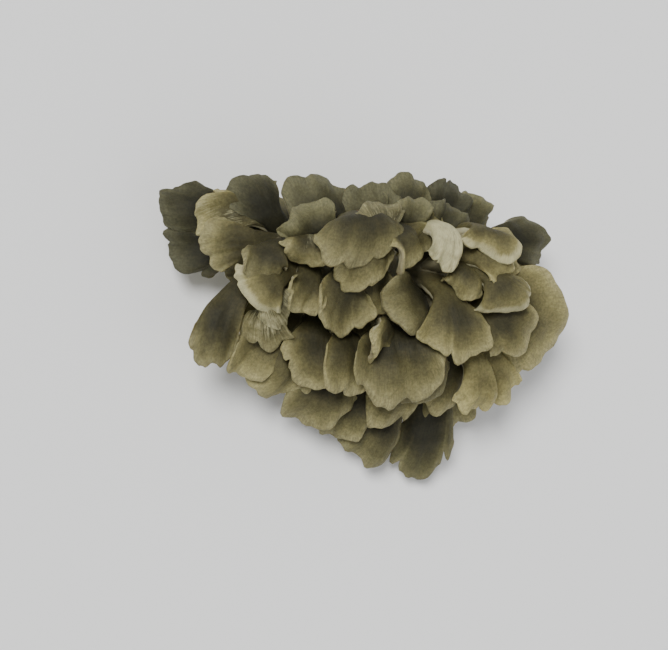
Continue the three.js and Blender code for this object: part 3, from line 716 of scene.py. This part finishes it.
class NodeKit:
    """A new material, and short names for the nodes that it is made of."""

    def __init__(self, name):
        self.material = bpy.data.materials.new(name)
        self.material.use_nodes = True
        self.nodes = self.material.node_tree.nodes
        self.links = self.material.node_tree.links
        self.shader = self.nodes["Principled BSDF"]

    def feed(self, socket, given):
        """A number or a colour is set on the socket, and an output is linked to it."""
        if isinstance(given, tuple):
            socket.default_value = (*given, 1)
        elif isinstance(given, (int, float)):
            socket.default_value = given
        else:
            self.links.new(given, socket)

    def attribute(self, name):
        node = self.nodes.new("ShaderNodeAttribute")
        node.attribute_name = name
        return node.outputs["Fac"]

    def math(self, operation, *inputs, clamp=False):
        node = self.nodes.new("ShaderNodeMath")
        node.operation = operation
        node.use_clamp = clamp
        for socket, given in zip(node.inputs, inputs):
            self.feed(socket, given)
        return node.outputs[0]

    def vector(self, *numbers):
        node = self.nodes.new("ShaderNodeCombineXYZ")
        for socket, given in zip(node.inputs, numbers):
            self.feed(socket, given)
        return node.outputs[0]

    def noise(self, vector, scale, detail, roughness):
        node = self.nodes.new("ShaderNodeTexNoise")
        for name, given in dict(Scale=scale, Detail=detail, Roughness=roughness, Vector=vector).items():
            self.feed(node.inputs[name], given)
        return node.outputs["Fac"]

    def ramp(self, source, stops):
        node = self.nodes.new("ShaderNodeValToRGB")
        while len(node.color_ramp.elements) < len(stops):
            node.color_ramp.elements.new(0.5)
        for element, (place, colour) in zip(node.color_ramp.elements, stops):
            element.position = place
            element.color = (*colour, 1)
        self.links.new(source, node.inputs["Fac"])
        return node.outputs["Color"]

    def mix(self, share, first, second, blend="MIX"):
        node = self.nodes.new("ShaderNodeMix")
        node.data_type = "RGBA"
        node.blend_type = blend
        colours = [socket for socket in node.inputs if socket.type == "RGBA"]
        for socket, given in zip((node.inputs[0], *colours), (share, first, second)):
            self.feed(socket, given)
        return next(socket for socket in node.outputs if socket.type == "RGBA")


def surface_reading(kit):
    """What the attributes say of each point, and the noises that all the colours share."""
    names = ("along", "across", "side", "margin", "tone", "seed", "pale", "grey_and_shade", "rim")
    at = {name: kit.attribute(name) for name in names}
    at["place"] = kit.nodes.new("ShaderNodeTexCoord").outputs["Object"]
    own_pattern = kit.math("MULTIPLY", at["seed"], 40)
    for name, noise, stretch in (
        ("streaks", STREAKS, STREAKS_STRETCH),
        ("fibres", FIBRES, FIBRES_STRETCH),
    ):
        lines = [kit.math("MULTIPLY", at[way], times) for way, times in zip(("across", "along"), stretch)]
        at[name] = kit.noise(kit.vector(*lines, own_pattern), *noise)
    for name, noise in (("mottle", MOTTLE), ("grain", GRAIN), ("blotch", BLOTCH)):
        at[name] = kit.noise(at["place"], *noise)
    # Millimetres from the cap's margin, disturbed so that the pale rim isn't a ruled line.
    at["inward"] = at["margin"]
    for name, disturbance in MARGIN_DISTURBANCE.items():
        moved = kit.math("MULTIPLY_ADD", at[name], disturbance, -disturbance / 2)
        at["inward"] = kit.math("ADD", at["inward"], moved)
    at["is_top"] = kit.math("MULTIPLY_ADD", at["side"], 2.2, 0.9, clamp=True)
    return at


def skin_and_shade_colour(kit, at):
    """Tan at the margin and dark inside it, the dark partly the cap's own and partly painted shade near the
    neck, streaked outwards from the neck, and mottled like felt.
    """
    skin = kit.ramp(kit.math("DIVIDE", at["inward"], SKIN_DEPTH), SKIN_AND_SHADE_STOPS)
    for pattern, (share, low, high) in SKIN_PATTERNS.items():
        change = kit.ramp(at[pattern], [(0.34, (low,) * 3), (0.66, (high,) * 3)])
        skin = kit.mix(share, skin, change, "MULTIPLY")
    shade = kit.ramp(at["tone"], [(0.0, DARK_TONE), (1.0, LIGHT_TONE)])
    skin = kit.mix(1.0, skin, shade, "MULTIPLY")
    # Painted shade with a bluish painted reflection, partly the caps' own greyish brown: the greyed caps are
    # darkened and cooled.
    return kit.mix(at["grey_and_shade"], skin, kit.mix(1.0, skin, GREYING_AND_SHADE, "MULTIPLY"))


def top_colour(kit, at):
    """The skin, with the cream of turned-over caps over it in patches, and of some caps' front edges."""
    cream = kit.mix(0.4, kit.ramp(at["fibres"], CREAM), kit.ramp(at["mottle"], CREAM))
    patches = kit.math("MULTIPLY_ADD", at["streaks"], 2.2, at["mottle"])
    patches = kit.math("MULTIPLY_ADD", at["blotch"], 3.2, patches)
    covered = kit.math("ADD", kit.math("MULTIPLY_ADD", at["pale"], 2.6, -4.2), patches, clamp=True)
    covered = kit.math("MULTIPLY", covered, kit.math("MULTIPLY", at["pale"], 4, clamp=True))
    front = kit.math("MULTIPLY_ADD", at["along"], 5, -3.6, clamp=True)
    edge = kit.math("MULTIPLY_ADD", at["inward"], -0.65, 2.8, clamp=True)
    rimmed = kit.math("MULTIPLY", at["rim"], kit.math("MULTIPLY", front, edge))
    return kit.mix(kit.math("MAXIMUM", covered, rimmed), skin_and_shade_colour(kit, at), cream)


def underside_colour(kit, at):
    """Cream pores, stained near the margin."""
    stained = kit.math("SUBTRACT", 1, kit.math("DIVIDE", at["inward"], 4), clamp=True)
    return kit.mix(kit.math("MULTIPLY", stained, 0.6), kit.ramp(at["mottle"], PORE_FLESH), STAIN)


def stem_colour(kit, at):
    """The cream flesh of stems, boughs and base, streaked upwards, stained by the cut and darkened high up
    by painted shade for the crevices under the caps.
    """
    split = kit.nodes.new("ShaderNodeSeparateXYZ")
    kit.links.new(at["place"], split.inputs[0])
    height = split.outputs["Z"]
    # Painted shade: the flesh darkens higher above the cut, where the stems lie in the crevices under the
    # caps.
    above_painted_shade = kit.math("SUBTRACT", height, PAINTED_SHADE_FROM * MM)
    painted_shade = kit.math("DIVIDE", above_painted_shade, (PAINTED_SHADE_TO - PAINTED_SHADE_FROM) * MM, clamp=True)
    stretched = kit.nodes.new("ShaderNodeMapping")
    stretched.inputs["Scale"].default_value = (1, 1, 0.15)
    kit.links.new(at["place"], stretched.inputs["Vector"])
    streaks = kit.math("MULTIPLY_ADD", kit.noise(stretched.outputs[0], *STEM_NOISE), 0.6, -0.3)
    flesh = kit.ramp(kit.math("ADD", at["blotch"], streaks), STEM_FLESH)
    stained = kit.math("SUBTRACT", 1, kit.math("DIVIDE", height, STAINED_TO * MM), clamp=True)
    stained = kit.math("MULTIPLY", stained, kit.math("MULTIPLY_ADD", at["blotch"], 2.4, -0.4, clamp=True))
    return kit.mix(painted_shade, kit.mix(stained, flesh, STAIN), STEM_PAINTED_SHADE)


def surface_height(kit, at):
    """Radial fibres and a felted nap on the skin, and pores beneath."""
    pores = kit.nodes.new("ShaderNodeTexVoronoi")
    pores.inputs["Scale"].default_value = PORES_SCALE
    kit.links.new(at["place"], pores.inputs["Vector"])
    nap = kit.noise(at["place"], *NAP)
    skin = kit.math("ADD", kit.math("MULTIPLY", at["fibres"], 0.7), kit.math("MULTIPLY", nap, 0.3))
    beneath = kit.math("MULTIPLY", pores.outputs["Distance"], 0.9)
    beneath = kit.math("MULTIPLY", beneath, kit.math("SUBTRACT", 1, at["is_top"]))
    return kit.math("MULTIPLY_ADD", skin, at["is_top"], beneath)


def flesh_material():
    """The whole mushroom's surface, from the attributes that say where on a frond a point lies."""
    kit = NodeKit("mushroom_flesh")
    at = surface_reading(kit)
    stem = stem_colour(kit, at)
    # The skin runs further down the stem than the pores do.
    stem_above = kit.math("MULTIPLY_ADD", at["along"], -2.5, -0.6, clamp=True)
    stem_below = kit.math("MULTIPLY_ADD", at["along"], -2.0, -0.2, clamp=True)
    above = kit.mix(stem_above, top_colour(kit, at), stem)
    below = kit.mix(stem_below, underside_colour(kit, at), stem)
    kit.feed(kit.shader.inputs["Base Color"], kit.mix(at["is_top"], below, above))
    bump = kit.nodes.new("ShaderNodeBump")
    for name, given in dict(Strength=0.4, Distance=BUMP_HEIGHT, Height=surface_height(kit, at)).items():
        kit.feed(bump.inputs[name], given)
    kit.links.new(bump.outputs[0], kit.shader.inputs["Normal"])
    kit.feed(kit.shader.inputs["Roughness"], kit.math("MULTIPLY_ADD", at["mottle"], 0.25, 0.52))
    kit.feed(kit.shader.inputs["Specular IOR Level"], GLOSS)
    kit.feed(kit.shader.inputs["Subsurface Weight"], GLOW)
    kit.feed(kit.shader.inputs["Subsurface Scale"], 1.0)
    kit.shader.inputs["Subsurface Radius"].default_value = GLOW_DEPTH
    return kit.material


def make_floor():
    """A pale paper floor that curves up into a wall far away."""
    profile = [(0.1, 0), (1, 0), (FLOOR_RADIUS, 0)]
    for rise in np.linspace(0, math.pi / 2, COVE_RINGS + 1)[1:]:
        profile.append((FLOOR_RADIUS + COVE_RADIUS * math.sin(rise), COVE_RADIUS * (1 - math.cos(rise))))
    turn = np.linspace(0, 2 * math.pi, FLOOR_SIDES, endpoint=False)
    rings = [np.stack([r * np.cos(turn), r * np.sin(turn), np.full(FLOOR_SIDES, z)], 1) for r, z in profile]
    points, faces = tube_mesh(rings)
    # The open end has no face, and all the others face inwards, to the object.
    faces = [face[::-1] for face in faces[:-1]]
    floor = mesh_object("floor", [(points / MM, faces, {})])
    kit = NodeKit("floor_paper")
    kit.feed(kit.shader.inputs["Base Color"], FLOOR_COLOUR)
    kit.feed(kit.shader.inputs["Roughness"], 0.9)
    floor.data.materials.append(kit.material)


def make_light(name, direction, softness, strength):
    """A soft light from far away, in the direction that points back to it."""
    lamp = bpy.data.lights.new(name, "SUN")
    lamp.angle = math.radians(softness)
    lamp.energy = strength
    obj = link_object(name, lamp)
    obj.rotation_mode = "QUATERNION"
    obj.rotation_quaternion = Vector(direction).to_track_quat("Z", "Y")


def make_sky():
    """The even, pale light from all round."""
    world = bpy.data.worlds.new("studio")
    bpy.context.scene.world = world
    world.use_nodes = True
    background = world.node_tree.nodes["Background"]
    background.inputs["Color"].default_value = (*SKY_COLOUR, 1)
    background.inputs["Strength"].default_value = SKY_STRENGTH


def make_camera():
    """The photograph's camera, which looks at a point in the middle of its frame."""
    tilt = math.radians(VIEW_TILT)
    back = Vector((-math.sin(tilt), 0, math.cos(tilt)))
    right = Vector((math.cos(tilt), 0, math.sin(tilt)))
    up = Vector((0, 1, 0))
    camera = bpy.data.cameras.new("camera")
    camera.lens = VIEW_LENS
    camera.sensor_width = SENSOR_WIDTH
    obj = link_object("camera", camera)
    target = right * VIEW_RIGHT + up * VIEW_UP + back * VIEW_HEIGHT
    obj.location = (target + back * VIEW_DISTANCE) * MM
    obj.rotation_mode = "QUATERNION"
    obj.rotation_quaternion = Matrix((right, up, back)).transposed().to_quaternion()
    bpy.context.scene.camera = obj


make_camera()
flesh = flesh_material()
for piece in make_cluster():
    piece.data.materials.append(flesh)
    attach(piece, BODY)
    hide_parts(NODE)
make_floor()
make_sky()
make_light("key", *KEY_LIGHT)
make_light("fill", *FILL_LIGHT)
